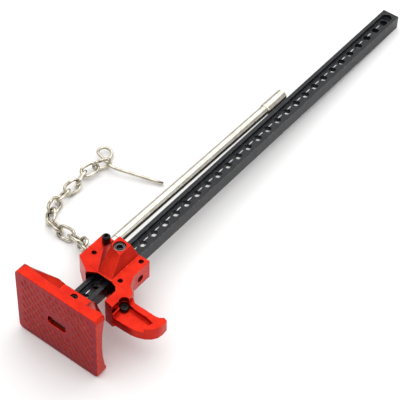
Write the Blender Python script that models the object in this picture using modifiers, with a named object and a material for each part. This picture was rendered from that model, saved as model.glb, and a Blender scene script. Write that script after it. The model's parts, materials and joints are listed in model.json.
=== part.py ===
"""A miniature farm jack (toe jack) lying on its side, with a chained lock pin.

The jack's own frame has X towards the toe, Y along the rack bar away from the
base plate's tread face, and Z along the rack's holes.  The jack leans by a few
degrees, so that it rests on one edge of the base plate and on the bar's far end.
The floor is the plane z = 0.
"""

import math

import bmesh
import bpy
from mathutils import Matrix, Vector

MM = 0.001
FIT = 0.06 * MM  # gap round a piece that seats in or on another
SLIDE_GAP = 0.2 * MM  # gap round the bar in the runner
THROUGH = 1.0 * MM  # how far a cutter runs past the faces that it opens

# Rack bar
BAR_WIDTH = 4.9 * MM
BAR_DEPTH = 3.8 * MM
BAR_LENGTH = 138.24 * MM
CHANNEL_WIDTH = 2.9 * MM
CHANNEL_DEPTH = 1.15 * MM
CHANNEL_END_WALL = 1.0 * MM
HOLE_PITCH = 4.2 * MM
HOLE_DIAMETER = 2.1 * MM
LAST_HOLE_TO_END = 3.6 * MM

# Base plate
PLATE_WIDTH = 24.2 * MM
PLATE_DEPTH = 20.3 * MM
PLATE_CORNER_THICKNESS = 3.0 * MM
PLATE_RIM_THICKNESS = 2.3 * MM
PLATE_SIDE_THICKNESS = 1.8 * MM
PLATE_CORNER_RADIUS = 1.2 * MM
SEAT_THICKNESS = 1.0 * MM  # floor of the bar's socket
SLOT_LENGTH = 5.4 * MM
SLOT_WIDTH = 2.6 * MM
SLOT_CORNER_RADIUS = 0.7 * MM
HUB_SIZE = 8.4 * MM
HUB_HEIGHT = 7.7 * MM
RIB_TOP_SIZE = 11.6 * MM  # where the four ribs meet the hub's shoulder
RIB_TOP_HEIGHT = 7.2 * MM
RIB_INSET = 1.8 * MM  # from a pocket's mouth to the plate's corner
BASE_SCREW_DIAMETER = 1.7 * MM
BASE_SCREW_HEIGHT = 6.1 * MM  # from the tread face

# Runner: heights are measured from the middle of the bar, along Z
RUNNER_START = 15.0 * MM  # from the tread face to the lip over the bar
RUNNER_LENGTH = 10.2 * MM
RUNNER_TOP = 4.15 * MM
RUNNER_SPLIT = -1.1 * MM
RUNNER_BOTTOM = -3.15 * MM
RUNNER_LEFT = 7.2 * MM
RUNNER_RIGHT = 6.65 * MM
COVER_CHAMFER = 1.7 * MM
BOSS_TOP = 7.3 * MM
BOSS_HALF_WIDTH = 1.9 * MM
LEG_INNER = 6.15 * MM
LEG_OUTER = 9.0 * MM
LEG_DROP = 5.3 * MM  # how far the leg reaches towards the base plate
MOUTH_LEFT = 3.4 * MM
MOUTH_RIGHT = 5.3 * MM
MOUTH_DEPTH = 2.4 * MM
MOUTH_ROOF = 0.65 * MM
LOCK_SCREW_AHEAD = 7.3 * MM  # from the lip over the bar
LOCK_SCREW_DIAMETER = 2.9 * MM
LOCK_TIP_DIAMETER = 1.6 * MM
COVER_SCREW_DIAMETER = 1.15 * MM
COVER_SCREW_SIDE = 5.1 * MM
SIDE_SCREW_DIAMETER = 1.8 * MM
SIDE_SCREW_HEIGHT = 1.0 * MM

# Toe
TOE_REACH = 20.0 * MM
TOE_TOP = 2.6 * MM
TOE_THICKNESS = 3.7 * MM
TOE_UNDER = 8.75 * MM  # the toe's lower edge, from the tread face
TOE_OVER = 14.45 * MM  # the toe's lifting edge, from the tread face
TOE_LIP = 0.9 * MM
TOE_FLANGE = 1.5 * MM
TOE_POCKET = 1.2 * MM
TONGUE_LENGTH = 2.0 * MM
TONGUE_WIDTH = 4.2 * MM
TOE_SCREW_DIAMETER = 1.3 * MM
TOE_SCREW_HEAD = 2.2 * MM

# Handle
PIVOT_LEFT = 5.2 * MM  # from the middle of the bar
PIVOT_AHEAD = 8.6 * MM  # from the lip over the bar
PIVOT_SCREW_DIAMETER = 1.2 * MM
PIVOT_HEAD_DIAMETER = 2.1 * MM
PIVOT_HEAD_HEIGHT = 1.9 * MM
HANDLE_LENGTH = 69.8 * MM  # from the pivot to the sleeve's end
HANDLE_DIAMETER = 2.75 * MM
HANDLE_HEIGHT = 1.5 * MM
HANDLE_LEAN = math.radians(0.75)
KNUCKLE_LENGTH = 3.4 * MM
TENON_DIAMETER = 1.4 * MM
SLEEVE_LENGTH = 8.0 * MM
SLEEVE_DIAMETER = 3.3 * MM
CHEEK_GAP = HANDLE_DIAMETER + 0.25 * MM

# Chain and lock pin
LINK_LENGTH = 5.62 * MM
LINK_WIDTH = 3.8 * MM
LINK_WIRE = 0.9 * MM
LINK_SLACK = 0.2 * MM
LINK_COUNT = 13
LINK_ROLL = math.radians(45)
LAST_TWIST = math.radians(15)  # between each of the last links, which turns the last one upright
EYE_RADIUS = 1.05 * MM
EYE_WIRE = 0.7 * MM
ANCHOR_SHANK = 0.7 * MM
ANCHOR_AHEAD = 5.2 * MM  # from the lip over the bar
ANCHOR_HEIGHT = 0.1 * MM
CHAIN_PULL = Vector((-0.5, 0.62, -0.6)).normalized()  # of the first link, in the jack's frame
PIN_WIRE = 0.9 * MM
PIN_LENGTH = 13.8 * MM  # the straight part
PIN_NECK = 5.7 * MM  # from the bend to the loop
PIN_HANG = 2.1 * MM  # from the bend to the last link
PIN_LOOP_RADIUS = 1.8 * MM
PIN_LOOP_TURN = math.radians(300)
PIN_LOOP_STEPS = 20
PIN_TURN = math.radians(145)  # between the straight part and the neck
PIN_HEADING = math.radians(20)  # of the straight part on the floor, from the toe's direction
PIN_DROP = 1.35 * MM  # from the neck to the floor

# The chain's route over the floor, in millimetres, from the runner to the pin
CHAIN_ROUTE = (
    (-13.2, 24.5, 4.4),
    (-15.8, 25.9, 2.4),
    (-19.0, 26.4, 1.55),
    (-22.3, 26.0, 1.45),
    (-25.6, 26.3, 1.45),
    (-28.4, 28.4, 1.45),
    (-29.4, 31.8, 1.45),
    (-30.1, 35.6, 1.45),
    (-29.2, 39.2, 1.6),
    (-30.3, 42.6, 1.7),
    (-30.1, 45.4, 1.7),
    (-29.0, 47.9, 1.9),
    (-26.8, 51.2, 2.0),
)

RED = (0.62, 0.035, 0.018)
BLACK = (0.012, 0.012, 0.014)
STEEL = (0.78, 0.74, 0.68)

ROUND_SEGMENTS = 24
SMALL_SEGMENTS = 12
TINY = 1e-7


# ---------------------------------------------------------------- scene helpers


def clear_scene():
    for obj in list(bpy.data.objects):
        bpy.data.objects.remove(obj)


def make_collection(name, hidden=False):
    collection = bpy.data.collections.new(name)
    bpy.context.scene.collection.children.link(collection)
    collection.hide_render = hidden
    return collection


def make_material(name, colour, roughness, metallic):
    material = bpy.data.materials.new(name)
    material.use_nodes = True
    shader = material.node_tree.nodes["Principled BSDF"]
    shader.inputs["Base Color"].default_value = (*colour, 1.0)
    shader.inputs["Roughness"].default_value = roughness
    shader.inputs["Metallic"].default_value = metallic
    material.diffuse_color = (*colour, 1.0)
    return material


def make_empty(name, parent=None, matrix=None):
    empty = bpy.data.objects.new(name, None)
    empty.empty_display_size = 5 * MM
    PARTS.objects.link(empty)
    empty.parent = parent
    if matrix is not None:
        empty.matrix_local = matrix
    return empty


def add_part(name, mesh, material, parent, matrix=None):
    """A named sub-part: its mesh, its own material and its place under its parent."""
    obj = bpy.data.objects.new(name, mesh)
    PARTS.objects.link(obj)
    if not mesh.materials:
        mesh.materials.append(material)
    obj.parent = parent
    if matrix is not None:
        obj.matrix_local = matrix
    return obj


def combine(target, mesh, operation="DIFFERENCE"):
    """Cuts the mesh out of the target, or joins it on. The mesh is in the target's own frame."""
    cutter = bpy.data.objects.new(f"{target.name}_{operation.lower()}", mesh)
    CUTTERS.objects.link(cutter)
    cutter.hide_render = True
    cutter.display_type = "WIRE"
    cutter.parent = target
    modifier = target.modifiers.new(operation.title(), "BOOLEAN")
    modifier.operation = operation
    modifier.object = cutter
    return cutter


# ---------------------------------------------------------------- mesh helpers


def finish_mesh(bm, name="shape", smooth_angle=None):
    bmesh.ops.recalc_face_normals(bm, faces=bm.faces)
    mesh = bpy.data.meshes.new(name)
    bm.to_mesh(mesh)
    bm.free()
    if smooth_angle is not None:
        mesh.shade_smooth()
        mesh.set_sharp_from_angle(angle=smooth_angle)
    return mesh


def box(low, high):
    low, high = Vector(low), Vector(high)
    bm = bmesh.new()
    scale = Matrix.Diagonal((*(high - low), 1.0))
    bmesh.ops.create_cube(bm, size=1.0, matrix=Matrix.Translation((low + high) / 2) @ scale)
    return finish_mesh(bm)


def rod_matrix(start, end):
    """The matrix that lays a shape built along Z, centred on the origin, from start to end."""
    start, end = Vector(start), Vector(end)
    turn = (end - start).to_track_quat("Z", "Y").to_matrix().to_4x4()
    return Matrix.Translation((start + end) / 2) @ turn


def cylinder(radius, start, end, segments=ROUND_SEGMENTS, end_radius=None):
    bm = bmesh.new()
    bmesh.ops.create_cone(
        bm,
        cap_ends=True,
        segments=segments,
        radius1=radius,
        radius2=radius if end_radius is None else end_radius,
        depth=(Vector(end) - Vector(start)).length,
        matrix=rod_matrix(start, end),
    )
    return finish_mesh(bm, smooth_angle=math.radians(40))


def hexagon(across_flats, start, end):
    return cylinder(across_flats / math.sqrt(3), start, end, segments=6)


def hull(points):
    """The convex solid that wraps the points: a loft between unlike flat ends."""
    bm = bmesh.new()
    for point in points:
        bm.verts.new(point)
    wrapped = bmesh.ops.convex_hull(bm, input=bm.verts)
    unused = [v for v in wrapped["geom_interior"] if isinstance(v, bmesh.types.BMVert)]
    bmesh.ops.delete(bm, geom=unused, context="VERTS")
    bmesh.ops.dissolve_limit(bm, angle_limit=math.radians(1), verts=bm.verts, edges=bm.edges)
    return finish_mesh(bm)


AXIS_TURN = {
    "Z": Matrix.Identity(4),
    "Y": Matrix.Rotation(math.radians(90), 4, "X"),
    "X": Matrix.Rotation(math.radians(90), 4, "Z") @ Matrix.Rotation(math.radians(90), 4, "X"),
}


def prism(outline, low, high, axis="Z"):
    """A flat outline drawn out along an axis: (x, y) on Z, (x, z) on Y and (y, z) on X."""
    curve = bpy.data.curves.new("outline", "CURVE")
    curve.dimensions = "2D"
    curve.fill_mode = "BOTH"
    curve.extrude = (high - low) / 2
    spline = curve.splines.new("POLY")
    spline.points.add(len(outline) - 1)
    for point, (x, y) in zip(spline.points, outline):
        point.co = (x, y, 0.0, 1.0)
    spline.use_cyclic_u = True
    guide = bpy.data.objects.new("outline", curve)
    bpy.context.scene.collection.objects.link(guide)
    graph = bpy.context.evaluated_depsgraph_get()
    mesh = bpy.data.meshes.new_from_object(guide.evaluated_get(graph))
    bpy.data.objects.remove(guide)
    bpy.data.curves.remove(curve)
    bm = bmesh.new()
    bm.from_mesh(mesh)
    bpy.data.meshes.remove(mesh)
    bmesh.ops.remove_doubles(bm, verts=bm.verts, dist=TINY)
    middle = (low + high) / 2
    offset = {"Z": (0, 0, middle), "Y": (0, middle, 0), "X": (middle, 0, 0)}[axis]
    bmesh.ops.transform(bm, matrix=Matrix.Translation(offset) @ AXIS_TURN[axis], verts=bm.verts)
    return finish_mesh(bm)


def arc(centre, radius, start, end, steps):
    """Points along an arc, with its angles in degrees."""
    for i in range(steps + 1):
        angle = math.radians(start + (end - start) * i / steps)
        yield (centre[0] + radius * math.cos(angle), centre[1] + radius * math.sin(angle))


def slot_outline(low, high, width, steps=8):
    """A slot along the outline's second axis, from low to high, with round ends."""
    radius = width / 2
    return [
        *arc((0, high - radius), radius, 0, 180, steps),
        *arc((0, low + radius), radius, 180, 360, steps),
    ]


def turned(name, profile, material, parent, matrix=None, segments=ROUND_SEGMENTS):
    """A solid of revolution about its own Z axis: the profile runs down its outer side."""
    mesh = bpy.data.meshes.new(name)
    points = [(radius, 0.0, height) for radius, height in profile]
    mesh.from_pydata(points, [(i, i + 1) for i in range(len(points) - 1)], [])
    obj = add_part(name, mesh, material, parent, matrix)
    screw = obj.modifiers.new("Screw", "SCREW")
    screw.steps = segments
    screw.render_steps = segments
    screw.use_merge_vertices = True
    screw.merge_threshold = TINY
    return obj


def wire_mesh(points, diameter, cyclic=False, sides=8):
    """A round wire swept along a list of points, as a mesh."""
    curve = bpy.data.curves.new("wire", "CURVE")
    curve.dimensions = "3D"
    curve.bevel_depth = diameter / 2
    curve.bevel_resolution = sides // 4
    curve.use_fill_caps = not cyclic
    spline = curve.splines.new("POLY")
    spline.points.add(len(points) - 1)
    for point, place in zip(spline.points, points):
        point.co = (*place, 1.0)
    spline.use_cyclic_u = cyclic
    guide = bpy.data.objects.new("wire", curve)
    bpy.context.scene.collection.objects.link(guide)
    graph = bpy.context.evaluated_depsgraph_get()
    mesh = bpy.data.meshes.new_from_object(guide.evaluated_get(graph))
    bpy.data.objects.remove(guide)
    bpy.data.curves.remove(curve)
    bm = bmesh.new()
    bm.from_mesh(mesh)
    bpy.data.meshes.remove(mesh)
    bmesh.ops.remove_doubles(bm, verts=bm.verts, dist=TINY)
    return finish_mesh(bm, smooth_angle=math.radians(60))


# ---------------------------------------------------------------- places

BAR_START = SEAT_THICKNESS + FIT
BAR_END = BAR_START + BAR_LENGTH
LAST_HOLE = BAR_END - LAST_HOLE_TO_END
CHANNEL_START = HUB_HEIGHT - 0.3 * MM
HOLE_COUNT = int((LAST_HOLE - CHANNEL_START - HOLE_DIAMETER / 2) / HOLE_PITCH) + 1
LEAN = math.atan((PLATE_DEPTH - BAR_DEPTH) / 2 / (BAR_END - PLATE_RIM_THICKNESS))
LIFT = PLATE_DEPTH / 2 * math.cos(LEAN) + PLATE_RIM_THICKNESS * math.sin(LEAN)
RUNNER_END = RUNNER_START + RUNNER_LENGTH
LOCK_SCREW_Y = RUNNER_START + LOCK_SCREW_AHEAD
LEG_END = RUNNER_START - LEG_DROP
PIVOT = Vector((-PIVOT_LEFT, RUNNER_START + PIVOT_AHEAD, HANDLE_HEIGHT))
TOE_BOTTOM = TOE_TOP - TOE_THICKNESS
TOE_ROOT = LEG_OUTER + FIT
TOE_SCREW_PLACE = Vector((TOE_ROOT + 0.6 * MM, TOE_OVER - 2.1 * MM, 0))
ANCHOR = Vector((-RUNNER_LEFT, RUNNER_START + ANCHOR_AHEAD, ANCHOR_HEIGHT))
EYE_CENTRE = ANCHOR + Vector((-EYE_RADIUS - EYE_WIRE / 2 - 0.1 * MM, 0, 0))
COVER_SCREWS = (
    (-COVER_SCREW_SIDE, RUNNER_START + 4.1 * MM),
    (COVER_SCREW_SIDE, RUNNER_START + 1.4 * MM),
    (COVER_SCREW_SIDE, RUNNER_END - 1.3 * MM),
)


# ---------------------------------------------------------------- sub-parts


def make_rack_bar():
    half_width, half_depth = BAR_WIDTH / 2, BAR_DEPTH / 2
    bar = add_part(
        "rack_bar",
        box((-half_width, BAR_START, -half_depth), (half_width, BAR_END, half_depth)),
        make_material("black_anodised_bar", BLACK, 0.35, 0.9),
        JACK,
    )
    channel = slot_outline(CHANNEL_START, BAR_END - CHANNEL_END_WALL, CHANNEL_WIDTH)
    floor = half_depth - CHANNEL_DEPTH
    combine(bar, prism(channel, floor, half_depth + THROUGH))
    combine(bar, prism(channel, -half_depth - THROUGH, -floor))
    holes = bmesh.new()
    for i in range(HOLE_COUNT):
        y = LAST_HOLE - i * HOLE_PITCH
        place = Matrix.Translation((0, y, 0))
        bmesh.ops.create_cone(
            holes,
            cap_ends=True,
            segments=16,
            radius1=HOLE_DIAMETER / 2,
            radius2=HOLE_DIAMETER / 2,
            depth=BAR_DEPTH,
            matrix=place,
        )
    combine(bar, finish_mesh(holes))
    return bar


def rounded_rectangle(width, depth, radius):
    x, y = width / 2 - radius, depth / 2 - radius
    return [
        *arc((x, y), radius, 0, 90, 3),
        *arc((-x, y), radius, 90, 180, 3),
        *arc((-x, -y), radius, 180, 270, 3),
        *arc((x, -y), radius, 270, 360, 3),
    ]


def rectangle(half_x, y, half_z):
    return [Vector((x, y, z)) for x in (-half_x, half_x) for z in (-half_z, half_z)]


def cut_pocket(plate, sign, axis, plate_width, plate_reach, thickness):
    """A hollow between two of the plate's ribs, with a scooped floor: it opens towards one side."""
    near, far = sign * HUB_SIZE / 2, sign * (plate_reach / 2 + THROUGH)
    narrow, wide = HUB_SIZE / 2 - 0.3 * MM, plate_width / 2 - RIB_INSET + 0.8 * MM
    mouth = [(-narrow, near), (narrow, near), (wide, far), (-wide, far)]
    if axis == "X":
        mouth = [(x, y) for y, x in mouth]
    pocket = combine(plate, prism(mouth, 0, HUB_HEIGHT + THROUGH, "Y"))
    rise = PLATE_CORNER_THICKNESS - thickness
    radius = (wide**2 + rise**2) / (2 * rise)
    spread = math.degrees(math.asin(wide / radius))
    floor = list(arc((0, thickness + radius), radius, -90 - spread, -90 + spread, 12))
    top = HUB_HEIGHT + 2 * THROUGH
    scoop = [*floor, (wide + THROUGH, floor[-1][1]), (wide + THROUGH, top), (-wide - THROUGH, top)]
    scoop += [(-wide - THROUGH, floor[0][1])]
    low, high = sorted((near - sign * THROUGH, far + sign * THROUGH))
    if axis == "X":
        scoop = [(y, x) for x, y in scoop]
        combine(pocket, prism(scoop, low, high, "X"), "INTERSECT")
    else:
        combine(pocket, prism(scoop, low, high, "Z"), "INTERSECT")


def make_base_plate():
    plate = add_part(
        "base_plate",
        prism(
            rounded_rectangle(PLATE_WIDTH, PLATE_DEPTH, PLATE_CORNER_RADIUS),
            0,
            PLATE_CORNER_THICKNESS,
            "Y",
        ),
        make_material("red_anodised_plate", RED, 0.32, 0.75),
        JACK,
    )
    hub, shoulder = HUB_SIZE / 2, RIB_TOP_SIZE / 2
    foot_x = PLATE_WIDTH / 2 - PLATE_CORNER_RADIUS * 0.4
    foot_z = PLATE_DEPTH / 2 - PLATE_CORNER_RADIUS * 0.4
    pyramid = rectangle(foot_x, PLATE_CORNER_THICKNESS, foot_z)
    pyramid += rectangle(foot_x, PLATE_CORNER_THICKNESS / 2, foot_z)
    pyramid += rectangle(shoulder, RIB_TOP_HEIGHT, shoulder - 0.4 * MM)
    pyramid += rectangle(hub, HUB_HEIGHT, hub)
    combine(plate, hull(pyramid), "UNION")
    for sign in (-1, 1):
        cut_pocket(plate, sign, "Z", PLATE_WIDTH, PLATE_DEPTH, PLATE_RIM_THICKNESS)
        cut_pocket(plate, sign, "X", PLATE_DEPTH, PLATE_WIDTH, PLATE_SIDE_THICKNESS)
    high = HUB_HEIGHT + THROUGH
    socket_x, socket_z = BAR_WIDTH / 2 + FIT, BAR_DEPTH / 2 + FIT
    combine(plate, box((-socket_x, SEAT_THICKNESS, -socket_z), (socket_x, high, socket_z)))
    slot = rounded_rectangle(SLOT_LENGTH, SLOT_WIDTH, SLOT_CORNER_RADIUS)
    combine(plate, prism(slot, -THROUGH, SEAT_THICKNESS + 0.3 * MM, "Y"))
    screw_hole = BASE_SCREW_DIAMETER / 2 + FIT
    combine(
        plate,
        cylinder(
            screw_hole,
            (0, BASE_SCREW_HEIGHT, 0),
            (0, BASE_SCREW_HEIGHT, hub + THROUGH),
            SMALL_SEGMENTS,
        ),
    )
    return plate


def make_socket_screw(name, diameter, tip, head, parent, material, tip_diameter=None):
    """A headless screw from its tip to its hex-socket end."""
    tip, head = Vector(tip), Vector(head)
    screw = add_part(name, cylinder(diameter / 2, tip, head, SMALL_SEGMENTS), material, parent)
    along = (head - tip).normalized()
    depth = min(0.45 * (head - tip).length, 0.7 * diameter)
    combine(screw, hexagon(diameter * 0.5, head - along * depth, head + along * THROUGH))
    return screw


def runner_outline():
    """The runner seen along the rack's holes, from the near left corner, anticlockwise."""
    lip = RUNNER_START
    return [
        (-RUNNER_LEFT, lip + 1.2 * MM),
        (-2.7 * MM, lip - 1.4 * MM),
        (-0.5 * MM, lip),
        (3.5 * MM, lip),
        (5.3 * MM, lip - 0.6 * MM),
        (LEG_INNER, lip - 1.6 * MM),
        (LEG_INNER, LEG_END),
        (LEG_OUTER - 0.4 * MM, LEG_END - 0.4 * MM),
        (LEG_OUTER - 0.3 * MM, LEG_END + 1.7 * MM),
        (LEG_OUTER + 1.1 * MM, lip - 2.0 * MM),
        (LEG_OUTER + 0.8 * MM, lip + 0.3 * MM),
        (LEG_OUTER - 1.1 * MM, lip + 1.8 * MM),
        (RUNNER_RIGHT, lip + 4.4 * MM),
        (RUNNER_RIGHT, RUNNER_END),
        (-RUNNER_LEFT, RUNNER_END - 0.3 * MM),
    ]


def bar_way():
    x, z = BAR_WIDTH / 2 + SLIDE_GAP, BAR_DEPTH / 2 + SLIDE_GAP
    return box((-x, LEG_END - THROUGH, -z), (x, RUNNER_END + THROUGH, z))


def make_runner_body():
    body = add_part(
        "runner_body",
        prism(runner_outline(), RUNNER_SPLIT, RUNNER_TOP),
        make_material("red_anodised_runner", RED, 0.3, 0.75),
        RUNNER,
    )
    lip, inset = RUNNER_START, 0.05 * MM
    foot = [
        (-0.5 * MM, lip + inset),
        (3.5 * MM, lip + inset),
        (3.5 * MM, RUNNER_END - inset),
        (-3.3 * MM, RUNNER_END - inset),
        (-4.4 * MM, lip + 6.7 * MM),
    ]
    top = [
        (BOSS_HALF_WIDTH, lip + 5.2 * MM),
        (BOSS_HALF_WIDTH, lip + 9.2 * MM),
        (-BOSS_HALF_WIDTH, lip + 9.6 * MM),
        (-BOSS_HALF_WIDTH, lip + 6.7 * MM),
    ]
    boss = [(x, y, RUNNER_TOP) for x, y in foot]
    boss += [(x, y, RUNNER_TOP - 0.5 * MM) for x, y in foot]
    boss += [(x, y, BOSS_TOP) for x, y in top]
    combine(body, hull(boss), "UNION")
    combine(body, bar_way())
    mouth_low = (-MOUTH_LEFT, LEG_END, RUNNER_SPLIT - THROUGH)
    combine(body, box(mouth_low, (MOUTH_RIGHT, lip + MOUTH_DEPTH, RUNNER_TOP - MOUTH_ROOF)))
    shank_start = ANCHOR + Vector((-THROUGH, 0, 0))
    shank_end = ANCHOR + Vector((1.6 * MM, 0, 0))
    combine(body, cylinder(ANCHOR_SHANK / 2 + FIT, shank_start, shank_end, SMALL_SEGMENTS))
    lock_radius = LOCK_SCREW_DIAMETER / 2 + FIT
    combine(body, cylinder(lock_radius, (0, LOCK_SCREW_Y, 0), (0, LOCK_SCREW_Y, BOSS_TOP + THROUGH)))
    for x, y in COVER_SCREWS:
        low, high = (x, y, RUNNER_SPLIT - THROUGH), (x, y, RUNNER_TOP + THROUGH)
        combine(body, cylinder(COVER_SCREW_DIAMETER / 2 + FIT, low, high, SMALL_SEGMENTS))
    side_y = LOCK_SCREW_Y - 0.5 * MM
    low, high = (0, side_y, SIDE_SCREW_HEIGHT), (RUNNER_RIGHT + THROUGH, side_y, SIDE_SCREW_HEIGHT)
    combine(body, cylinder(SIDE_SCREW_DIAMETER / 2 + FIT, low, high, SMALL_SEGMENTS))
    cut_handle_slot(body)
    cut_toe_fork(body)
    return body


def cut_handle_slot(body):
    """The slot between the two cheeks that hold the handle's knuckle, and the pivot's bore."""
    reach = HANDLE_DIAMETER / 2 + 0.28 * MM
    low = (-RUNNER_LEFT - THROUGH, PIVOT.y - reach, PIVOT.z - CHEEK_GAP / 2)
    high = (PIVOT.x + reach, RUNNER_END + THROUGH, PIVOT.z + CHEEK_GAP / 2)
    combine(body, box(low, high))
    bore_low = (PIVOT.x, PIVOT.y, RUNNER_SPLIT - THROUGH)
    bore_high = (PIVOT.x, PIVOT.y, RUNNER_TOP + THROUGH)
    combine(body, cylinder(PIVOT_SCREW_DIAMETER / 2 + FIT, bore_low, bore_high, SMALL_SEGMENTS))


def tongue_span():
    middle = (TOE_UNDER + TOE_OVER) / 2 + 0.9 * MM
    return middle - TONGUE_WIDTH / 2, middle + TONGUE_WIDTH / 2


def cut_toe_fork(body):
    """The fork in the leg that takes the toe's root and tongue, and the room round its screw."""
    near, far = tongue_span()
    low, top = RUNNER_SPLIT - THROUGH, TOE_TOP + FIT
    tongue_low = (TOE_ROOT - TONGUE_LENGTH - FIT, near - FIT, low)
    combine(body, box(tongue_low, (LEG_OUTER + THROUGH, far + FIT, top)))
    past_leg = (LEG_OUTER + 2 * THROUGH, RUNNER_START + 2.2 * MM, top)
    combine(body, box((LEG_OUTER, LEG_END + 0.6 * MM, low), past_leg))
    x, y = TOE_SCREW_PLACE.x, TOE_SCREW_PLACE.y
    radius = TOE_SCREW_HEAD / 2 + 0.15 * MM
    combine(body, cylinder(radius, (x, y, TOE_TOP - TOE_POCKET), (x, y, RUNNER_TOP + THROUGH)))


def make_runner_cover():
    """The runner's lower plate: it closes the way round the bar and carries the toe."""
    outline = runner_outline()
    near, far = tongue_span()
    shelf = TOE_SCREW_PLACE.x + 1.5 * MM
    first = outline.index((LEG_OUTER - 0.3 * MM, LEG_END + 1.7 * MM))
    outline[first : first + 4] = [
        (LEG_OUTER, near - 0.5 * MM),
        (shelf, near + 0.6 * MM),
        (shelf, far - 1.0 * MM),
        (LEG_OUTER, far),
        (LEG_OUTER - 1.1 * MM, RUNNER_START + 1.8 * MM),
    ]
    cover = add_part(
        "runner_cover",
        prism(outline, RUNNER_BOTTOM, RUNNER_SPLIT - FIT),
        make_material("red_anodised_cover", RED, 0.34, 0.75),
        RUNNER,
    )
    combine(cover, bar_way())
    for x, limit in ((-RUNNER_LEFT, LEG_END - THROUGH), (RUNNER_RIGHT, RUNNER_START + 4.4 * MM)):
        inward = -math.copysign(COVER_CHAMFER, x)
        outward = math.copysign(THROUGH, x)
        wedge = [
            (x + outward, RUNNER_SPLIT - 0.2 * MM),
            (x, RUNNER_SPLIT - 0.2 * MM),
            (x + inward, RUNNER_BOTTOM - 0.1 * MM),
            (x + outward, RUNNER_BOTTOM - 0.1 * MM),
        ]
        combine(cover, prism(wedge, limit, RUNNER_END + THROUGH, "Y"))
    bores = [(x, y, COVER_SCREW_DIAMETER) for x, y in COVER_SCREWS]
    bores.append((PIVOT.x, PIVOT.y, PIVOT_SCREW_DIAMETER))
    bores.append((TOE_SCREW_PLACE.x, TOE_SCREW_PLACE.y, TOE_SCREW_DIAMETER))
    for x, y, diameter in bores:
        low, high = (x, y, RUNNER_BOTTOM - THROUGH), (x, y, RUNNER_SPLIT + THROUGH)
        combine(cover, cylinder(diameter / 2 + FIT, low, high, SMALL_SEGMENTS))
    return cover


def toe_outline():
    """The toe seen along Z: a level lifting edge with a lip, over a curved underside."""
    tip, over, under = TOE_REACH, TOE_OVER, TOE_UNDER
    straight = TOE_ROOT + 3.2 * MM
    lip = [
        (tip - 2.9 * MM, over),
        (tip - 2.0 * MM, over + 0.2 * TOE_LIP),
        (tip - 1.1 * MM, over + TOE_LIP),
        (tip - 0.1 * MM, over + 0.7 * TOE_LIP),
    ]
    rise, run = over - 1.0 * MM - under, tip - straight
    belly = [
        (straight + run * math.sin(angle), under + rise * (1 - math.cos(angle)) ** 1.1)
        for angle in (math.radians(a) for a in (0, 15, 30, 45, 60, 75, 90))
    ]
    return [(TOE_ROOT, under), *belly, *reversed(lip), (TOE_ROOT, over)]


def make_toe():
    toe = add_part(
        "toe",
        prism(toe_outline(), TOE_BOTTOM, TOE_TOP),
        make_material("red_anodised_toe", RED, 0.3, 0.75),
        RUNNER,
    )
    near, far = tongue_span()
    tongue_low = (TOE_ROOT - TONGUE_LENGTH, near, TOE_BOTTOM)
    combine(toe, box(tongue_low, (TOE_ROOT + 0.5 * MM, far, TOE_TOP)), "UNION")
    flare = [
        (TOE_ROOT, TOE_OVER - 0.5 * MM),
        (TOE_ROOT + 1.9 * MM, TOE_OVER - 0.5 * MM),
        (TOE_ROOT + 1.9 * MM, TOE_OVER + 0.1 * MM),
        (TOE_ROOT + 0.5 * MM, TOE_OVER + 1.2 * MM),
        (TOE_ROOT, TOE_OVER + 1.2 * MM),
    ]
    combine(toe, prism(flare, TOE_BOTTOM, TOE_TOP), "UNION")
    inner = TOE_OVER - TOE_FLANGE
    pocket = [
        (TOE_ROOT + 0.4 * MM, TOE_UNDER - THROUGH),
        (TOE_REACH - 2.6 * MM, TOE_UNDER - THROUGH),
        (TOE_REACH - 2.6 * MM, TOE_UNDER + 2.0 * MM),
        (TOE_REACH - 2.1 * MM, inner - 0.4 * MM),
        (TOE_REACH - 4.5 * MM, inner),
        (TOE_REACH - 6.7 * MM, inner - 0.05 * MM),
        (TOE_ROOT + 1.7 * MM, inner + 0.2 * MM),
        (TOE_ROOT + 0.4 * MM, inner + 0.9 * MM),
    ]
    combine(toe, prism(pocket, TOE_TOP - TOE_POCKET, TOE_TOP + THROUGH))
    x, y = TOE_SCREW_PLACE.x, TOE_SCREW_PLACE.y
    bore = TOE_SCREW_DIAMETER / 2 + FIT
    combine(toe, cylinder(bore, (x, y, TOE_BOTTOM - THROUGH), (x, y, TOE_TOP), SMALL_SEGMENTS))
    head = TOE_SCREW_HEAD / 2 + 0.15 * MM
    combine(toe, cylinder(head, (x, y, TOE_TOP - TOE_POCKET), (x, y, TOE_TOP + THROUGH)))
    return toe


def make_cap_screw(name, place, seat, tip, diameter, head_diameter, head_height, material):
    """A cap-head screw standing along Z: its head sits on the seat and its tip is below."""
    x, y = place
    head_top = seat + FIT + head_height
    shoulder = head_height * 0.2
    head, shank = head_diameter / 2, diameter / 2
    profile = [
        (0, head_top),
        (head - shoulder, head_top),
        (head, head_top - shoulder),
        (head, seat + FIT),
        (shank, seat + FIT),
        (shank, tip),
        (0, tip),
    ]
    screw = turned(name, profile, material, RUNNER, Matrix.Translation((x, y, 0)), SMALL_SEGMENTS)
    depth = head_height * 0.55
    combine(screw, hexagon(head_diameter * 0.45, (0, 0, head_top - depth), (0, 0, head_top + THROUGH)))
    return screw


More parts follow.
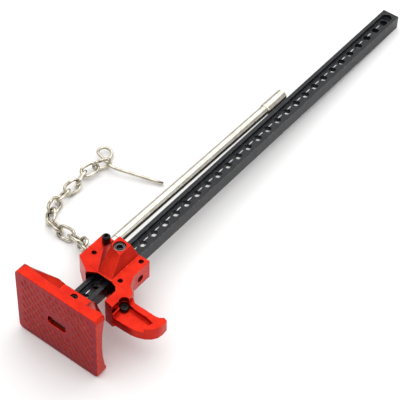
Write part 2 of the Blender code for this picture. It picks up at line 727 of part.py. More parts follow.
def make_runner_screws():
    black = make_material("black_oxide_screw", BLACK, 0.35, 0.9)
    for number, (x, y) in enumerate(COVER_SCREWS, 1):
        make_socket_screw(
            f"cover_screw_{number}",
            COVER_SCREW_DIAMETER,
            (x, y, RUNNER_BOTTOM + 0.2 * MM),
            (x, y, RUNNER_TOP - 0.7 * MM),
            RUNNER,
            black,
        )
    side_y = LOCK_SCREW_Y - 0.5 * MM
    make_socket_screw(
        "side_set_screw",
        SIDE_SCREW_DIAMETER,
        (BAR_WIDTH / 2 + SLIDE_GAP, side_y, SIDE_SCREW_HEIGHT),
        (RUNNER_RIGHT - 0.35 * MM, side_y, SIDE_SCREW_HEIGHT),
        RUNNER,
        make_material("black_oxide_side_screw", BLACK, 0.35, 0.9),
    )
    make_cap_screw(
        "toe_screw",
        (TOE_SCREW_PLACE.x, TOE_SCREW_PLACE.y),
        TOE_TOP - TOE_POCKET,
        RUNNER_BOTTOM + 0.2 * MM,
        TOE_SCREW_DIAMETER,
        TOE_SCREW_HEAD,
        0.8 * MM,
        make_material("black_oxide_toe_screw", BLACK, 0.35, 0.9),
    )
    make_cap_screw(
        "handle_pivot_screw",
        (PIVOT.x, PIVOT.y),
        RUNNER_TOP,
        RUNNER_BOTTOM + 0.2 * MM,
        PIVOT_SCREW_DIAMETER,
        PIVOT_HEAD_DIAMETER,
        PIVOT_HEAD_HEIGHT,
        make_material("black_oxide_pivot_screw", BLACK, 0.3, 0.9),
    )


def make_lock_screw():
    """The set screw that clamps the runner: its tip stands on the floor of the bar's channel."""
    web = BAR_DEPTH / 2 - CHANNEL_DEPTH
    shoulder = BAR_DEPTH / 2 + SLIDE_GAP + 0.5 * MM
    head_top = BOSS_TOP - 0.3 * MM
    radius, tip = LOCK_SCREW_DIAMETER / 2, LOCK_TIP_DIAMETER / 2
    profile = [
        (0, head_top),
        (radius - 0.15 * MM, head_top),
        (radius, head_top - 0.15 * MM),
        (radius, shoulder),
        (tip, shoulder - 0.6 * MM),
        (tip, web + FIT),
        (0, web + FIT),
    ]
    screw = turned(
        "lock_set_screw",
        profile,
        make_material("black_oxide_lock_screw", BLACK, 0.3, 0.9),
        RUNNER,
        Matrix.Translation((0, LOCK_SCREW_Y, 0)),
    )
    combine(screw, hexagon(1.5 * MM, (0, 0, head_top - 1.4 * MM), (0, 0, head_top + THROUGH)))
    return screw


def make_base_screw():
    return make_socket_screw(
        "base_set_screw",
        BASE_SCREW_DIAMETER,
        (0, BASE_SCREW_HEIGHT, BAR_DEPTH / 2 + FIT),
        (0, BASE_SCREW_HEIGHT, HUB_SIZE / 2 - 0.4 * MM),
        JACK,
        make_material("black_oxide_base_screw", BLACK, 0.35, 0.9),
    )


def make_handle():
    """The handle lies along its own Y axis: a knuckle, a rod with a tenon and an end sleeve."""
    steel = make_material("polished_steel_knuckle", STEEL, 0.2, 1.0)
    radius, height = HANDLE_DIAMETER / 2, CHEEK_GAP - 0.24 * MM
    knuckle = add_part(
        "handle_knuckle",
        cylinder(radius, (0, 0, -height / 2), (0, 0, height / 2)),
        steel,
        HANDLE,
    )
    combine(knuckle, cylinder(radius - 0.02 * MM, (0, 0.2 * MM, 0), (0, KNUCKLE_LENGTH, 0)), "UNION")
    combine(
        knuckle,
        cylinder(PIVOT_SCREW_DIAMETER / 2 + FIT, (0, 0, -height), (0, 0, height), SMALL_SEGMENTS),
    )
    bore_floor = PIVOT_SCREW_DIAMETER / 2 + 0.8 * MM
    bore = TENON_DIAMETER / 2 + FIT
    combine(
        knuckle,
        cylinder(bore, (0, bore_floor, 0), (0, KNUCKLE_LENGTH + THROUGH, 0), SMALL_SEGMENTS),
    )
    lay = Matrix.Rotation(math.radians(-90), 4, "X")
    rod_start, cap = KNUCKLE_LENGTH + FIT, 1.2 * MM
    rod_end = HANDLE_LENGTH - cap - FIT
    tenon = TENON_DIAMETER / 2
    rod_profile = [
        (0, rod_end),
        (radius, rod_end),
        (radius, rod_start),
        (tenon, rod_start),
        (tenon, bore_floor + FIT),
        (0, bore_floor + FIT),
    ]
    turned(
        "handle_rod",
        rod_profile,
        make_material("polished_chrome_rod", STEEL, 0.12, 1.0),
        HANDLE,
        lay,
    )
    outer, inner = SLEEVE_DIAMETER / 2, radius + FIT
    start, end, round_over = HANDLE_LENGTH - SLEEVE_LENGTH, HANDLE_LENGTH, 0.3 * MM
    sleeve_profile = [
        (0, end),
        (outer - round_over, end),
        (outer, end - round_over),
        (outer, start + 2 * round_over),
        (inner, start),
        (inner, end - cap),
        (0, end - cap),
    ]
    turned(
        "handle_sleeve",
        sleeve_profile,
        make_material("polished_chrome_sleeve", STEEL, 0.15, 1.0),
        HANDLE,
        lay,
    )


def make_anchor():
    """An eye screwed into the runner's left side: it holds the chain's first link."""
    turns = [2 * math.pi * i / 16 for i in range(16)]
    eye = [(EYE_RADIUS * math.cos(a), EYE_RADIUS * math.sin(a), 0) for a in turns]
    tilt = math.atan2(CHAIN_PULL.z, CHAIN_PULL.y)
    place = Matrix.Translation(EYE_CENTRE) @ Matrix.Rotation(tilt, 4, "X")
    anchor = add_part(
        "chain_anchor",
        wire_mesh(eye, EYE_WIRE, cyclic=True),
        make_material("nickel_anchor", STEEL, 0.25, 1.0),
        RUNNER,
        place,
    )
    root = (EYE_RADIUS, 0, 0)
    tip = (ANCHOR.x - EYE_CENTRE.x + 1.5 * MM, 0, 0)
    combine(anchor, cylinder(ANCHOR_SHANK / 2, root, tip, SMALL_SEGMENTS), "UNION")
    return anchor


def link_mesh():
    """One link along +X, with its origin where it bears on the link before it."""
    bend = (LINK_WIDTH - LINK_WIRE) / 2
    half = (LINK_LENGTH - LINK_WIRE) / 2 - bend
    centre = link_pitch() / 2
    points = [(centre + x, y, 0) for x, y in arc((half, 0), bend, -90, 90, 8)]
    points += [(centre + x, y, 0) for x, y in arc((-half, 0), bend, 90, 270, 8)]
    return wire_mesh(points, LINK_WIRE, cyclic=True)


def link_pitch():
    return LINK_LENGTH - 2 * LINK_WIRE - LINK_SLACK


def smooth_route(points, steps=40):
    """A Catmull-Rom curve through the points, as a dense list of places."""
    ends = [2 * points[0] - points[1], *points, 2 * points[-1] - points[-2]]
    route = []
    for a, b, c, d in zip(ends, ends[1:], ends[2:], ends[3:]):
        for i in range(steps):
            t = i / steps
            route.append(
                0.5 * (2 * b + (c - a) * t + (2 * a - 5 * b + 4 * c - d) * t**2
                       + (3 * b - a - 3 * c + d) * t**3)
            )
    return route + [points[-1]]


def chain_joints():
    """Where each link bears on the next, one pitch apart along the route."""
    start = JACK_MATRIX @ (EYE_CENTRE + CHAIN_PULL * (EYE_RADIUS - (EYE_WIRE + LINK_SLACK) / 2))
    pull = JACK_MATRIX.to_3x3() @ CHAIN_PULL
    joints = [start, start + pull * link_pitch()]
    for place in smooth_route([joints[-1], *[Vector(point) * MM for point in CHAIN_ROUTE]]):
        if len(joints) > LINK_COUNT:
            break
        step = place - joints[-1]
        if step.length >= link_pitch():
            joints.append(joints[-1] + step.normalized() * link_pitch())
    return joints


def level_side(along):
    return Vector((0, 0, 1)).cross(along).normalized()


def heading_matrix(place, ahead, roll):
    """A frame at a place with X towards the next place, rolled about X."""
    along = (ahead - place).normalized()
    side = level_side(along)
    turn = Matrix((along, side, along.cross(side))).transposed().to_4x4()
    return Matrix.Translation(place) @ turn @ Matrix.Rotation(roll, 4, "X")


def first_roll(along):
    """The roll that sets the first link square across the anchor's eye."""
    across = along.cross(Vector((1, 0, 0))).normalized()
    side = level_side(along)
    return math.atan2(along.dot(side.cross(across)), side.dot(across))


def link_roll(i, along):
    """Each link lies square to its neighbours, and the last few twist to stand upright."""
    if i == 0:
        return first_roll(along)
    twist = LAST_TWIST * max(0, i - (LINK_COUNT - 4))
    return (LINK_ROLL if i % 2 else -LINK_ROLL) - twist


def make_chain():
    joints = chain_joints()
    mesh = link_mesh()
    nickel = make_material("nickel_link", STEEL, 0.22, 1.0)
    for i in range(LINK_COUNT):
        roll = link_roll(i, (joints[i + 1] - joints[i]).normalized())
        matrix = heading_matrix(joints[i], joints[i + 1], roll)
        add_part(f"chain_link_{i + 1:02d}", mesh, nickel, FLOOR, matrix)
    last_pull = (joints[-1] - joints[-2]).normalized()
    return joints[-1] - last_pull * (PIN_WIRE + LINK_SLACK) / 2


def make_lock_pin(place):
    """A straight pin whose end is bent back into a neck, which holds the last link, and a loop.

    Its origin is where it bears on the last link, with X along the straight part.
    """
    neck = Vector((math.cos(PIN_TURN), math.sin(PIN_TURN), 0))
    side = Vector((-neck.y, neck.x, 0))
    bend = -PIN_HANG * neck
    loop_start = bend + PIN_NECK * neck
    centre = loop_start - PIN_LOOP_RADIUS * side
    points = [bend + Vector((PIN_LENGTH, 0, -PIN_DROP)), bend + Vector((0.5 * MM, 0, 0))]
    points += [bend + 0.5 * MM * neck]
    turn_start = math.atan2(side.y, side.x)
    for i in range(PIN_LOOP_STEPS + 1):
        angle = turn_start - PIN_LOOP_TURN * i / PIN_LOOP_STEPS
        drop = -PIN_DROP * i / PIN_LOOP_STEPS
        spot = Vector((math.cos(angle), math.sin(angle), 0)) * PIN_LOOP_RADIUS
        points.append(centre + spot + Vector((0, 0, drop)))
    matrix = Matrix.Translation(place) @ Matrix.Rotation(PIN_HEADING, 4, "Z")
    return add_part(
        "lock_pin",
        wire_mesh(points, PIN_WIRE),
        make_material("nickel_pin", STEEL, 0.2, 1.0),
        FLOOR,
        matrix,
    )


def rest_on_floor():
    """Moves the whole jack, so that the origin is on the floor under its middle."""
    bpy.context.view_layer.update()
    graph = bpy.context.evaluated_depsgraph_get()
    places = []
    for obj in PARTS.objects:
        if obj.type == "MESH":
            mesh = obj.evaluated_get(graph).data
            places += [obj.matrix_world @ vertex.co for vertex in mesh.vertices]
    low = Vector(min(place[axis] for place in places) for axis in range(3))
    high = Vector(max(place[axis] for place in places) for axis in range(3))
    FLOOR.location = (-(low.x + high.x) / 2, -(low.y + high.y) / 2, -low.z)


# ---------------------------------------------------------------- assembly

clear_scene()
PARTS = make_collection("toe_jack")
CUTTERS = make_collection("cutters", hidden=True)
JACK_MATRIX = Matrix.Translation((0, 0, LIFT)) @ Matrix.Rotation(-LEAN, 4, "X")
FLOOR = make_empty("floor_frame")
JACK = make_empty("jack_frame", FLOOR, JACK_MATRIX)
RUNNER = make_empty("runner_frame", JACK)
HANDLE_MATRIX = Matrix.Translation(PIVOT) @ Matrix.Rotation(-HANDLE_LEAN, 4, "Z")
HANDLE = make_empty("handle_frame", RUNNER, HANDLE_MATRIX)

make_rack_bar()
make_base_plate()
make_base_screw()
make_runner_body()
make_runner_cover()
make_toe()
make_runner_screws()
make_lock_screw()
make_handle()
make_anchor()
make_lock_pin(make_chain())
rest_on_floor()
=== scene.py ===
"""The looks of the miniature toe jack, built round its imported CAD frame.

Lengths are in metres.  The jack's own frame has X towards the toe, Y along the rack
bar away from the tread face, and Z along the rack's holes.  It leans on one edge of
the base plate and on the bar's far end, on the floor z = 0.
"""

import json
import math

import bmesh
import bpy
from mathutils import Matrix, Vector

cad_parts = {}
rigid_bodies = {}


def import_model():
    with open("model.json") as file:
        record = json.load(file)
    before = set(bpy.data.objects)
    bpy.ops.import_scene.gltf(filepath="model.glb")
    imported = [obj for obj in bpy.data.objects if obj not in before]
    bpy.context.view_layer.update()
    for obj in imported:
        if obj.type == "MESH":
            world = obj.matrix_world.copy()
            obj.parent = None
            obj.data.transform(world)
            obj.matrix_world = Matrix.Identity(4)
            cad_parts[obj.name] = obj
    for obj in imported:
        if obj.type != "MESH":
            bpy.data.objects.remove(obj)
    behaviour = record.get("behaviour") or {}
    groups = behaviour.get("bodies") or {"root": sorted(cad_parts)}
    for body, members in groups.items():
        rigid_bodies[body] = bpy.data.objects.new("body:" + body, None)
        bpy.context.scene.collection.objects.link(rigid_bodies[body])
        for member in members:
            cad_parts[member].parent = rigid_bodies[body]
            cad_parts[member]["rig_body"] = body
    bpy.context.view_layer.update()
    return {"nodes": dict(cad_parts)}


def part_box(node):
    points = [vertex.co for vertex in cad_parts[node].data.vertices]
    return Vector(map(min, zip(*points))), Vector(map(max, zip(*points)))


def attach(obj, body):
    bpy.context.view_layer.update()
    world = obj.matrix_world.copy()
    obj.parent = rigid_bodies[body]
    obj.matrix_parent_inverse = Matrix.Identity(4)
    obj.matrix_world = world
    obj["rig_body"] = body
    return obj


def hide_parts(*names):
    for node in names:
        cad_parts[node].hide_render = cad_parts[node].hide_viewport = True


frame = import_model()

MM = 0.001
WELD = 0.0005 * MM
SLIVER = 0.03 * MM
SAME_PLANE = 0.05 * MM

LEAN = math.radians(3.446)
BAR_DEPTH = 3.8 * MM
BAR_LENGTH = 138.24 * MM
BAR_START = 1.06 * MM  # from the tread face
CHANNEL_DEPTH = 1.15 * MM
CHANNEL_START = 7.4 * MM
HOLE_PITCH = 4.2 * MM
LAST_HOLE_TO_END = 3.6 * MM
PLATE_WIDTH = 24.2 * MM
PLATE_DEPTH = 20.3 * MM
SLOT_LENGTH = 5.4 * MM
SLOT_WIDTH = 2.6 * MM

PLATE_ROUNDING = 0.16 * MM
BODY_ROUNDING = 0.10 * MM
BAR_ROUNDING = 0.08 * MM
HANDLE_ROUNDING = 0.08 * MM
SCREW_ROUNDING = 0.06 * MM
LOCK_SCREW_ROUNDING = 0.10 * MM
ANCHOR_ROUNDING = 0.05 * MM
ROUNDING_SEGMENTS = 2
ROUNDED_ABOVE = math.radians(28)
SHARP_ABOVE = math.radians(34)

FLAT_QUAD_LIMIT = math.radians(40)
CAP_EDGE_ABOVE = math.radians(60)
LINK_GROWTH = 0.03 * MM
PIN_GROWTH = 0.04 * MM
LINK_QUAD_LIMIT = math.radians(60)
PIN_QUAD_LIMIT = math.radians(180)

STREAK_LENGTH = 1.7 * MM
STREAK_WIDTH = 0.26 * MM
STREAK_ASIDE = 0.35 * MM  # from the channel's middle, away from the toe
STREAK_FROM_HOLE = 2.6 * MM  # from the hole above it, towards the plate
STREAK_SIDES = 12

STUD_PITCH_ACROSS = 1.85 * MM
STUD_PITCH_UP = 2.6 * MM
STUD_RISE = 0.14 * MM
STUD_SHARE = 0.43  # of the pitch, from a stud's middle to its corner
CLEAR_OF_SLOT = 0.55  # of the pitch, on both sides of the slot
CLEAR_OF_SIDES = 0.62
CLEAR_OF_ENDS = 0.58


def box_middle(node):
    low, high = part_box(node)
    return (low + high) / 2


# The jack's own frame: the bar's middle is known from its box, and its lean from the CAD.
BAR_MIDDLE = Vector((0, BAR_START + BAR_LENGTH / 2, 0))
JACK = (
    Matrix.Translation(box_middle("rack_bar"))
    @ Matrix.Rotation(-LEAN, 4, "X")
    @ Matrix.Translation(-BAR_MIDDLE)
)


# ---------------------------------------------------------------- materials


class Shader:
    """A material's node tree, with short calls for the nodes that are used here."""

    def __init__(self, name, **settings):
        self.material = bpy.data.materials.new(name)
        self.material.use_nodes = True
        self.tree = self.material.node_tree
        self.surface = self.tree.nodes["Principled BSDF"]
        self.place = self.tree.nodes.new("ShaderNodeTexCoord").outputs["Object"]
        for socket, value in settings.items():
            self.surface.inputs[socket.replace("_", " ")].default_value = value

    def node(self, kind, **inputs):
        node = self.tree.nodes.new(kind)
        for socket, value in inputs.items():
            self.put(node.inputs[socket.replace("_", " ")], value)
        return node

    def put(self, socket, value):
        if isinstance(value, bpy.types.NodeSocket):
            self.tree.links.new(value, socket)
        else:
            socket.default_value = value

    def stretched(self, scale):
        """The place, scaled along the jack's axes, for a grain that runs one way."""
        node = self.node("ShaderNodeMapping", Vector=self.place)
        node.inputs["Rotation"].default_value = (LEAN, 0, 0)
        node.inputs["Scale"].default_value = scale
        return node.outputs["Vector"]

    def noise(self, size, detail=2.0, vector=None):
        """Noise whose blobs are about this many metres across."""
        node = self.node("ShaderNodeTexNoise", Vector=vector or self.place, Detail=detail)
        node.inputs["Scale"].default_value = 1 / size
        return node.outputs["Fac"]

    def ramp(self, factor, *stops):
        node = self.node("ShaderNodeValToRGB", Fac=factor)
        elements = node.color_ramp.elements
        for element, (place, colour) in zip(elements, stops):
            element.position = place
            element.color = (*colour, 1.0)
        for place, colour in stops[2:]:
            elements.new(place).color = (*colour, 1.0)
        return node.outputs["Color"]

    def spread(self, factor, low, high):
        """The factor's middle range, spread from low to high."""
        node = self.node("ShaderNodeMapRange", Value=factor)
        node.inputs["From Min"].default_value = 0.3
        node.inputs["From Max"].default_value = 0.7
        node.inputs["To Min"].default_value = low
        node.inputs["To Max"].default_value = high
        return node.outputs["Result"]

    def colour(self, value):
        self.put(self.surface.inputs["Base Color"], value)

    def roughness(self, value):
        self.put(self.surface.inputs["Roughness"], value)

    def bump(self, *layers):
        """Each layer is (height factor, depth in metres), one on top of another."""
        normal = None
        for height, depth in layers:
            node = self.node("ShaderNodeBump", Height=height)
            node.inputs["Distance"].default_value = depth
            if normal is not None:
                self.put(node.inputs["Normal"], normal)
            normal = node.outputs["Normal"]
        self.put(self.surface.inputs["Normal"], normal)


def red_metal(name, deep, bright, metallic=0.94, rough=(0.24, 0.38)):
    """Dyed anodised aluminium: cloudy dye, fine blasted grain and faint milling lines."""
    shader = Shader(name, Metallic=metallic, Specular_IOR_Level=0.5)
    cloud = shader.noise(3.5 * MM, 3.0)
    shader.colour(shader.ramp(cloud, (0.25, deep), (0.75, bright)))
    shader.roughness(shader.spread(shader.noise(0.9 * MM, 4.0), *rough))
    milling = shader.noise(0.35 * MM, 1.0, shader.stretched((1.0, 0.06, 1.0)))
    shader.bump((shader.noise(0.12 * MM), 0.0007 * MM), (milling, 0.001 * MM))
    return shader.material


def edge_strip_highlight_and_wear(name, colour, bare_and_highlight):
    """A lighter edge strip: painted edge highlight, partly wear where the dye is thin; it breaks up along
    its length.
    """
    shader = Shader(name, Metallic=0.85)
    highlight_wear_noise = shader.noise(0.7 * MM, 4.0)
    shader.colour(shader.ramp(highlight_wear_noise, (0.50, colour), (0.85, bare_and_highlight)))
    shader.roughness(shader.spread(shader.noise(0.3 * MM), 0.22, 0.42))
    shader.bump((shader.noise(0.15 * MM), 0.008 * MM))
    return shader.material


def black_metal(name, tone=(0.006, 0.0065, 0.008), rough=(0.24, 0.38), coat_ior=1.33):
    """Black anodised aluminium or oxide: near black, drawn lengthwise, with a blue-grey sheen."""
    shader = Shader(name, Metallic=0.0, IOR=coat_ior)
    dusty = tuple(3.0 * part for part in tone)
    cloud = shader.noise(2.2 * MM, 4.0)
    shader.colour(shader.ramp(cloud, (0.35, tone), (0.8, dusty)))
    shader.roughness(shader.spread(shader.noise(0.8 * MM, 4.0), *rough))
    drawn = shader.noise(0.22 * MM, 2.0, shader.stretched((1.0, 0.02, 1.0)))
    shader.bump((shader.noise(0.1 * MM), 0.004 * MM), (drawn, 0.006 * MM))
    return shader.material


def bright_metal(name, dark, light, rough, grain=0.002 * MM):
    """Plated or bare metal: a mirror with faint drawing marks, spots and handling haze."""
    shader = Shader(name, Metallic=1.0)
    haze = shader.noise(1.6 * MM, 5.0)
    shader.colour(shader.ramp(haze, (0.3, dark), (0.62, light)))
    shader.roughness(shader.spread(shader.noise(0.6 * MM, 4.0), *rough))
    drawn = shader.noise(0.2 * MM, 2.0, shader.stretched((1.0, 0.03, 1.0)))
    shader.bump((shader.noise(0.25 * MM), grain), (drawn, grain))
    return shader.material


def floor_paper():
    """Matt white paper, with a very faint unevenness."""
    shader = Shader("floor_paper", Roughness=0.9)
    shader.surface.inputs["Specular IOR Level"].default_value = 0.1
    tone = shader.noise(60 * MM, 2.0)
    shader.colour(shader.ramp(tone, (0.3, (0.93, 0.93, 0.93)), (0.7, (0.95, 0.95, 0.95))))
    return shader.material


RED_DEEP, RED_BRIGHT = (0.42, 0.011, 0.006), (0.56, 0.021, 0.007)
# The brightest red, on the rounded edge strips only: painted edge highlight, with wear.
RED_BARE_AND_HIGHLIGHT = (0.85, 0.09, 0.045)
MATERIALS = {
    "plate": red_metal("red_anodised_plate_look", RED_DEEP, RED_BRIGHT),
    # The tread face's reds are darker than the rest of the plate: painted shade on the face that looks
    # away from the lights. The studs are lighter than the ground between them.
    "tread": red_metal(
        "red_tread_stud_painted_shade", (0.30, 0.024, 0.022), (0.38, 0.036, 0.032), 1.0, (0.4, 0.55)
    ),
    "shaded_tread_ground": red_metal(
        "red_tread_gaps_painted_shade", (0.24, 0.003, 0.010), (0.32, 0.005, 0.014), 1.0
    ),
    # Light grey streaks on the black bar's channel floors: painted highlights.
    "streak_highlight": bright_metal(
        "grey_painted_highlight", (0.30, 0.30, 0.32), (0.62, 0.63, 0.66), (0.25, 0.4)
    ),
    "runner": red_metal("red_anodised_runner_look", RED_DEEP, RED_BRIGHT),
    "cover": red_metal("red_anodised_cover_look", RED_DEEP, RED_BRIGHT),
    "toe": red_metal("red_anodised_toe_look", RED_DEEP, (0.59, 0.023, 0.008)),
    # The lighter red of the rounded edge strips: painted edge highlight, broken up like wear.
    "edge": edge_strip_highlight_and_wear("red_edge_highlight_and_wear", RED_BRIGHT, RED_BARE_AND_HIGHLIGHT),
    "bar": black_metal("black_anodised_bar_look"),
    # Blue-grey rounded edge strips on the black bar: painted edge highlight, with wear.
    "bar_edge": edge_strip_highlight_and_wear("black_edge_highlight_and_wear", (0.05, 0.055, 0.065), (0.22, 0.23, 0.25)),
    "bar_end": bright_metal("bare_bar_end", (0.20, 0.22, 0.20), (0.34, 0.36, 0.33), (0.3, 0.5)),
    "screw": black_metal("black_oxide_screw_look", (0.004, 0.004, 0.0045), (0.3, 0.45), 1.35),
    # The screws' lighter edge strips and the lock screw's grey rim: painted edge highlight, with wear.
    "screw_edge": edge_strip_highlight_and_wear("screw_edge_highlight_and_wear", (0.012, 0.012, 0.013), (0.10, 0.10, 0.10)),
    "steel_edge": edge_strip_highlight_and_wear("lock_screw_rim", (0.22, 0.21, 0.20), (0.5, 0.49, 0.46)),
    "chrome": bright_metal("chrome_handle_look", (0.50, 0.47, 0.40), (0.66, 0.63, 0.56), (0.14, 0.24)),
    "nickel": bright_metal(
        "nickel_chain_look", (0.20, 0.175, 0.125), (0.76, 0.71, 0.60), (0.12, 0.26), 0.001 * MM
    ),
    "pin": bright_metal(
        "nickel_pin_look", (0.44, 0.41, 0.34), (0.66, 0.62, 0.53), (0.16, 0.28), 0.001 * MM
    ),
}


# ---------------------------------------------------------------- mesh helpers


def mesh_from(bm, name):
    mesh = bpy.data.meshes.new(name)
    bm.to_mesh(mesh)
    bm.free()
    return mesh


def add_piece(name, mesh, materials, body, stands_for=()):
    """A shown piece: its mesh, its materials, the body that it rides on and what it stands for."""
    obj = bpy.data.objects.new(name, mesh)
    bpy.context.scene.collection.objects.link(obj)
    mesh.materials.clear()
    for material in materials:
        mesh.materials.append(MATERIALS[material])
    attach(obj, body)
    if stands_for:
        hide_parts(*stands_for)
    return obj


def baked(obj):
    """The object's mesh with its modifiers worked in, which then leave it."""
    graph = bpy.context.evaluated_depsgraph_get()
    mesh = bpy.data.meshes.new_from_object(obj.evaluated_get(graph))
    obj.modifiers.clear()
    obj.data = mesh
    return mesh


def round_edges(obj, width):
    """Rounds the sharp edges, and gives the rounded strips the second material slot."""
    bevel = obj.modifiers.new("Rounding", "BEVEL")
    bevel.width = width
    bevel.segments = ROUNDING_SEGMENTS
    bevel.limit_method = "ANGLE"
    bevel.angle_limit = ROUNDED_ABOVE
    bevel.use_clamp_overlap = False
    # The rounded strips take the lighter edge material: painted edge highlight, with wear.
    bevel.material = 1
    mesh = baked(obj)
    mesh.shade_smooth()
    mesh.set_sharp_from_angle(angle=SHARP_ABOVE)
    weigh = obj.modifiers.new("Even_shading", "WEIGHTED_NORMAL")
    weigh.keep_sharp = True


def welded(node):
    """The CAD node's shape, with its triangles joined into one closed skin."""
    bm = bmesh.new()
    bm.from_mesh(frame["nodes"][node].data)
    bmesh.ops.remove_doubles(bm, verts=bm.verts, dist=WELD)
    return bm


def body_of(node):
    return frame["nodes"][node]["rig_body"]


def finished_copy(node, looks, width):
    """The CAD node's shape with rounded edges, coloured lighter as painted edge highlights with wear."""
    bm = welded(node)
    bmesh.ops.dissolve_degenerate(bm, dist=SLIVER, edges=bm.edges)
    piece = add_piece(f"{node}_look", mesh_from(bm, node), looks, body_of(node), [node])
    round_edges(piece, width)
    return piece


def paint_faces_at(piece, y, look):
    """Gives the flat faces that look back along the bar, at that distance, their own material."""
    piece.data.materials.append(MATERIALS[look])
    to_jack = JACK.inverted()
    back = JACK.to_3x3() @ Vector((0, -1, 0))
    for face in piece.data.polygons:
        looks_back = face.normal.dot(back) > 0.99
        if looks_back and abs((to_jack @ face.center).y - y) < SAME_PLANE:
            face.material_index = len(piece.data.materials) - 1


def smooth_wire(node, look, growth, quad_limit):
    """A CAD wire made round: its rings are subdivided, then let out by what that took off."""
    bm = welded(node)
    bmesh.ops.join_triangles(
        bm,
        faces=bm.faces,
        angle_face_threshold=FLAT_QUAD_LIMIT,
        angle_shape_threshold=quad_limit,
    )
    crease = bm.edges.layers.float.new("crease_edge")
    for edge in bm.edges:
        edge[crease] = float(edge.calc_face_angle(0.0) > CAP_EDGE_ABOVE)
    piece = add_piece(
        f"{node}_look", mesh_from(bm, node), (look,), body_of(node), [node]
    )
    rounding = piece.modifiers.new("Rounding", "SUBSURF")
    rounding.levels = 2
    rounding.render_levels = 2
    mesh = baked(piece)
    places = [vertex.co + vertex.normal * growth for vertex in mesh.vertices]
    for vertex, place in zip(mesh.vertices, places):
        vertex.co = place
    mesh.shade_smooth()


def close_rings(bm, rings):
    """A closed skin over rings of vertices that lie one above another."""
    for low, high in zip(rings, rings[1:]):
        for i in range(len(low)):
            after = (i + 1) % len(low)
            bm.faces.new((low[i], low[after], high[after], high[i]))
    bm.faces.new(rings[0])
    bm.faces.new(rings[-1])


# ---------------------------------------------------------------- pieces


def make_red_pieces():
    plate = finished_copy("base_plate", ("plate", "edge"), PLATE_ROUNDING)
    # The tread face takes the darker red of painted shade.
    paint_faces_at(plate, 0.0, "shaded_tread_ground")
    finished_copy("runner_body", ("runner", "edge"), BODY_ROUNDING)
    finished_copy("runner_cover", ("cover", "edge"), BODY_ROUNDING)
    finished_copy("toe", ("toe", "edge"), BODY_ROUNDING)


BLACK_EDGED_SCREWS = (
    "base_set_screw",
    "cover_screw_1",
    "cover_screw_2",
    "cover_screw_3",
    "side_set_screw",
    "toe_screw",
    "handle_pivot_screw",
)


def make_screws():
    for node in BLACK_EDGED_SCREWS:
        finished_copy(node, ("screw", "screw_edge"), SCREW_ROUNDING)
    finished_copy("lock_set_screw", ("screw", "steel_edge"), LOCK_SCREW_ROUNDING)


def make_bar():
    bar = finished_copy("rack_bar", ("bar", "bar_edge"), BAR_ROUNDING)
    paint_faces_at(bar, BAR_START, "bar_end")


def make_highlight_streaks():
    """Painted highlight streaks of light grey metal on both channel floors, one between every two holes.
    """
    floor = BAR_DEPTH / 2 - CHANNEL_DEPTH
    last = BAR_START + BAR_LENGTH - LAST_HOLE_TO_END
    count = int((last - CHANNEL_START) / HOLE_PITCH)
    bm = bmesh.new()
    for side in (1, -1):
        for i in range(count):
            y = last - i * HOLE_PITCH - STREAK_FROM_HOLE
            add_streak(bm, Vector((-STREAK_ASIDE, y, side * floor)), side)
    bmesh.ops.recalc_face_normals(bm, faces=bm.faces)
    mesh = mesh_from(bm, "highlight_streak_mesh")
    mesh.transform(JACK)
    add_piece("bar_highlight_streaks", mesh, ("streak_highlight",), "rack")


def add_streak(bm, middle, side):
    """A thin round-ended film of light grey metal, a painted highlight, crowned so that it catches the
    light.
    """
    rings = []
    for scale, height in ((1.0, -0.02 * MM), (1.0, 0.015 * MM), (0.6, 0.04 * MM)):
        ring = []
        for step in range(STREAK_SIDES):
            angle = math.tau * step / STREAK_SIDES
            x = math.cos(angle) * STREAK_WIDTH / 2
            y = math.sin(angle) * STREAK_LENGTH / 2
            ring.append(bm.verts.new(middle + Vector((scale * x, scale * y, side * height))))
        rings.append(ring)
    close_rings(bm, rings)


def make_handle():
    for node in ("handle_knuckle", "handle_rod", "handle_sleeve"):
        finished_copy(node, ("chrome", "chrome"), HANDLE_ROUNDING)


def make_chain():
    links = [node for node in sorted(frame["nodes"]) if node.startswith("chain_link")]
    for node in links:
        smooth_wire(node, "nickel", LINK_GROWTH, LINK_QUAD_LIMIT)
    smooth_wire("lock_pin", "pin", PIN_GROWTH, PIN_QUAD_LIMIT)
    finished_copy("chain_anchor", ("nickel", "nickel"), ANCHOR_ROUNDING)


def make_tread():
    """Rows of low lozenges on the tread face, clear of its edge and its slot."""
    bm = bmesh.new()
    columns = int(PLATE_WIDTH / STUD_PITCH_ACROSS)
    rows = int(PLATE_DEPTH / STUD_PITCH_UP)
    for row in range(-rows, rows + 1):
        for column in range(-columns, columns + 1):
            x = column * STUD_PITCH_ACROSS / 2
            z = row * STUD_PITCH_UP / 2
            if (row + column) % 2 == 0 and on_open_tread(x, z):
                add_lozenge(bm, x, z)
    bmesh.ops.recalc_face_normals(bm, faces=bm.faces)
    mesh = mesh_from(bm, "tread")
    mesh.transform(JACK)
    # The studs carry the darker tread red: painted shade.
    add_piece("tread_pattern", mesh, ("tread",), "rack")


def on_open_tread(x, z):
    """Whether a whole stud fits there, between the slot and the plate's edges."""
    beside_slot = abs(x) >= SLOT_LENGTH / 2 + STUD_PITCH_ACROSS * CLEAR_OF_SLOT
    above_slot = abs(z) >= SLOT_WIDTH / 2 + STUD_PITCH_UP * CLEAR_OF_SLOT
    in_width = abs(x) <= PLATE_WIDTH / 2 - STUD_PITCH_ACROSS * CLEAR_OF_SIDES
    in_depth = abs(z) <= PLATE_DEPTH / 2 - STUD_PITCH_UP * CLEAR_OF_ENDS
    return (beside_slot or above_slot) and in_width and in_depth


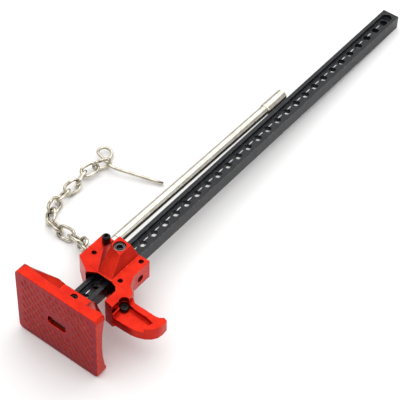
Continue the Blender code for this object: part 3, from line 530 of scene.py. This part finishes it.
def add_lozenge(bm, x, z):
    """A flat-topped four-sided stud that stands proud of the tread face."""
    half_x = STUD_PITCH_ACROSS * STUD_SHARE
    half_z = STUD_PITCH_UP * STUD_SHARE
    rings = []
    for scale, y in ((1.0, 0.03 * MM), (1.0, -0.01 * MM), (0.55, -STUD_RISE)):
        ring = []
        for a, b in ((1, 0), (0, 1), (-1, 0), (0, -1)):
            ring.append(bm.verts.new((x + scale * half_x * a, y, z + scale * half_z * b)))
        rings.append(ring)
    close_rings(bm, rings)


# ---------------------------------------------------------------- floor, lights and camera


FLOOR_HALF_SIZE = 3.0
WORLD_STRENGTH = 0.58


def make_floor():
    bm = bmesh.new()
    bmesh.ops.create_grid(bm, x_segments=4, y_segments=4, size=FLOOR_HALF_SIZE)
    obj = bpy.data.objects.new("floor", mesh_from(bm, "floor"))
    obj.data.materials.append(floor_paper())
    bpy.context.scene.collection.objects.link(obj)


def softbox(name, place, size, radiance):
    """A square soft light that faces the jack, as bright as a surface of that radiance."""
    light = bpy.data.lights.new(name, "AREA")
    light.shape = "SQUARE"
    light.size = size
    light.energy = radiance * math.pi * size**2
    obj = bpy.data.objects.new(name, light)
    obj.location = place
    obj.rotation_euler = (-Vector(place)).to_track_quat("-Z", "Y").to_euler()
    bpy.context.scene.collection.objects.link(obj)


def light_the_scene():
    world = bpy.data.worlds.new("studio")
    world.use_nodes = True
    background = world.node_tree.nodes["Background"]
    background.inputs["Color"].default_value = (1.0, 0.99, 0.98, 1.0)
    background.inputs["Strength"].default_value = WORLD_STRENGTH
    bpy.context.scene.world = world
    softbox("overhead_softbox", place=(-0.12, 0.22, 0.75), size=1.4, radiance=1.45)
    softbox("right_softbox", place=(0.8, 0.3, 0.45), size=0.4, radiance=1.2)


CAMERA_AIM = Vector((4.16, -13.57, 0)) * MM
CAMERA_DISTANCE = 366.2 * MM
CAMERA_AZIMUTH = math.radians(38.47)
CAMERA_ELEVATION = math.radians(49.80)
CAMERA_ROLL = math.radians(-0.68)


def place_camera():
    camera = bpy.data.cameras.new("camera")
    camera.lens = 131.0
    camera.sensor_width = 36.0
    camera.clip_start = 0.01
    obj = bpy.data.objects.new("camera", camera)
    turn = (
        Matrix.Rotation(CAMERA_AZIMUTH, 4, "Z")
        @ Matrix.Rotation(math.radians(90) - CAMERA_ELEVATION, 4, "X")
        @ Matrix.Rotation(CAMERA_ROLL, 4, "Z")
    )
    obj.matrix_world = Matrix.Translation(CAMERA_AIM) @ turn @ Matrix.Translation((0, 0, CAMERA_DISTANCE))
    bpy.context.scene.collection.objects.link(obj)
    bpy.context.scene.camera = obj


make_red_pieces()
make_tread()
make_screws()
make_bar()
make_highlight_streaks()
make_handle()
make_chain()
make_floor()
light_the_scene()
place_camera()
bpy.context.scene.view_settings.view_transform = "Standard"
